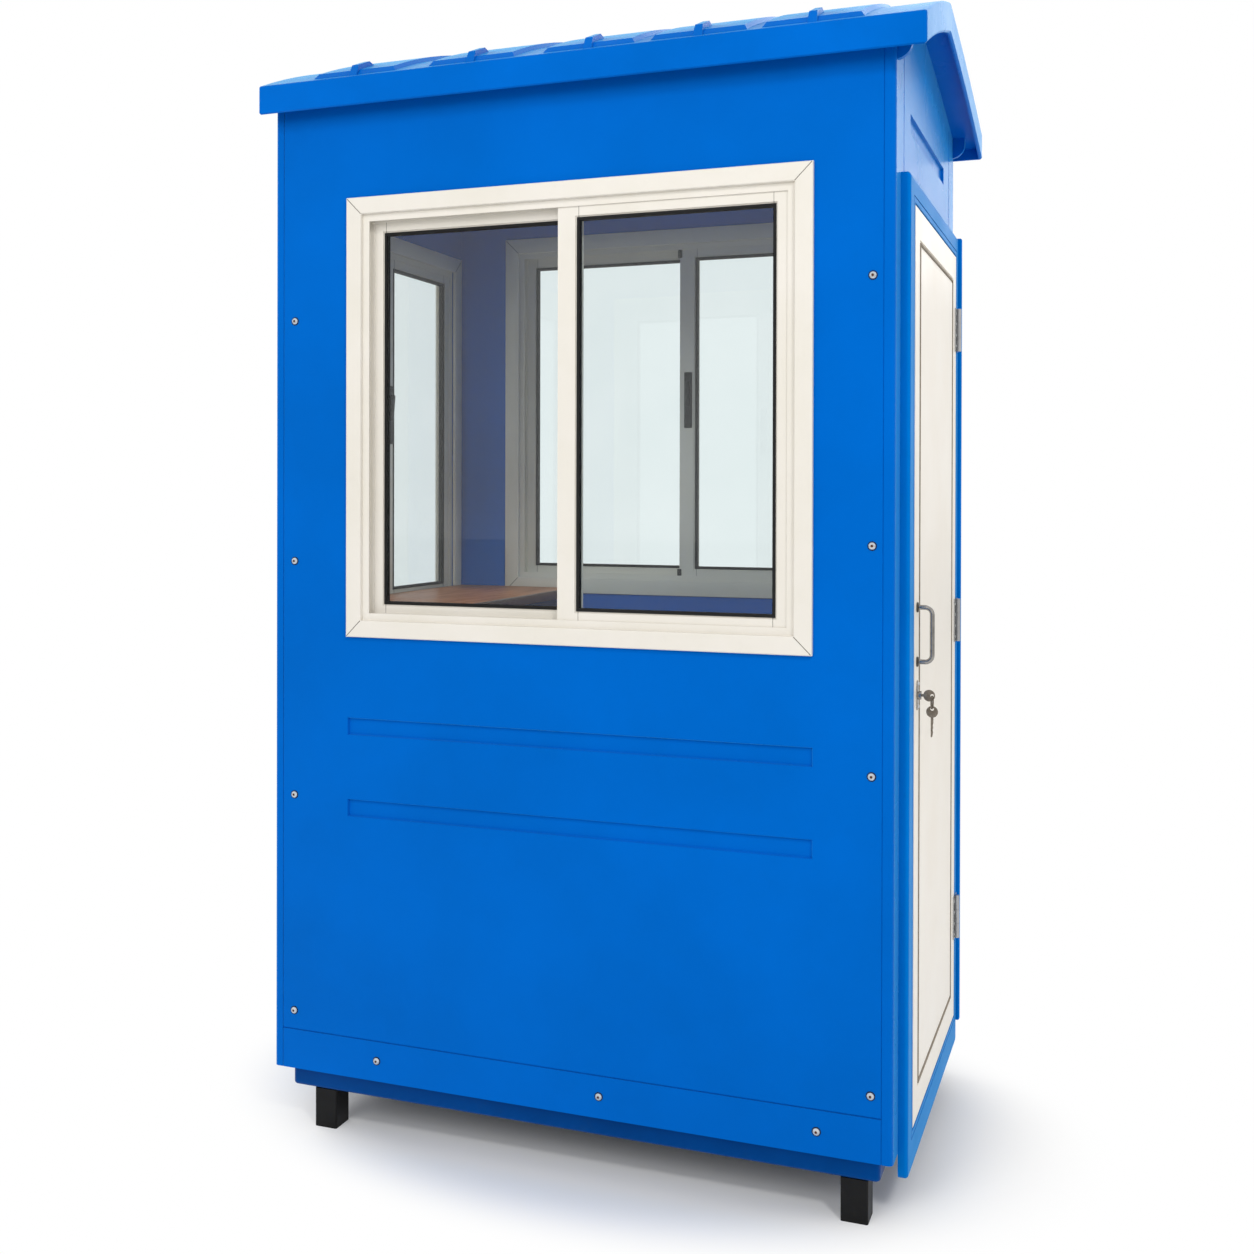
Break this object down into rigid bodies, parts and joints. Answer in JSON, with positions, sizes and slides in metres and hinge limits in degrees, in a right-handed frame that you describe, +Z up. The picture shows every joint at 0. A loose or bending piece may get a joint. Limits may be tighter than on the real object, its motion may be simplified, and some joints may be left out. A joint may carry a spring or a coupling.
{
  "type": "small security guard booth",
  "caption": "Small one-person guard booth of moulded panels with a gabled roof, sliding windows on three sides, a hinged side door, a desk inside and short square legs.",
  "frame": {"origin": "on the ground under the middle of the roof's outline", "axes": "+X to the right along the front as seen from outside, +Y from the front wall to the back wall, +Z up"},
  "size_m": [1.501, 0.982, 2.5188],
  "materials": {
    "body_blue": "gel-coated moulded glass fibre, satin gloss",
    "roof_blue": "gel-coated moulded glass fibre, satin gloss",
    "ceiling_blue": "smooth blue glass fibre sheet",
    "base_blue": "blue paint on the base rail",
    "floor_grey": "matt floor sheet",
    "black_steel": "black powder coat",
    "frame_blue": "gel-coated moulded glass fibre, satin gloss",
    "cream": "cream gel-coated door leaf, satin",
    "cream_frames": "cream powder-coated aluminium",
    "window_glass": "clear float glass",
    "hinge_steel": "satin stainless steel",
    "bright_metal": "bright plated metal",
    "key_metal": "nickel-plated keys and split ring",
    "desk_wood": "brown wood-grain laminate"
  },
  "bodies": {
    "booth": {"back_wall": "body_blue", "back_window_casing": "cream_frames", "back_window_glass": "window_glass", "back_window_inner_sash": "cream_frames", "back_window_outer_sash": "cream_frames", "back_window_tracks": "cream_frames", "base_skirt": "base_blue", "ceiling": "ceiling_blue", "corner_trim_back_left": "body_blue", "corner_trim_back_right": "body_blue", "corner_trim_front_left": "body_blue", "corner_trim_front_right": "body_blue", "desk_top": "desk_wood", "door_frame": "frame_blue", "floor": "floor_grey", "front_wall": "body_blue", "front_window_casing": "cream_frames", "front_window_glass": "window_glass", "front_window_inner_sash": "cream_frames", "front_window_outer_sash": "cream_frames", "front_window_tracks": "cream_frames", "gable_left": "body_blue", "gable_right": "body_blue", "hinge_leaves_on_frame": "hinge_steel", "hinge_pins": "hinge_steel", "hinge_side_strip": "frame_blue", "left_wall": "body_blue", "left_window_casing": "cream_frames", "left_window_glass": "window_glass", "left_window_inner_sash": "cream_frames", "left_window_outer_sash": "cream_frames", "left_window_tracks": "cream_frames", "legs": "black_steel", "right_wall_before_door": "body_blue", "right_wall_behind_door": "body_blue", "right_wall_over_door": "body_blue", "roof_shell": "roof_blue"},
    "door": {"door_leaf": "cream", "hinge_leaves_on_door": "hinge_steel", "pull_handle": "bright_metal", "lock_plate": "bright_metal", "lock_barrel": "bright_metal", "door_key": "key_metal", "key_ring": "key_metal", "hanging_key": "key_metal"}
  },
  "joints": [
    {"name": "door_swing", "type": "hinge", "parent": "booth", "child": "door", "pos_m": [0.7115, 0.3425, 1.149], "axis": [0, 0, 1], "range_deg": [0, 100]}
  ]
}
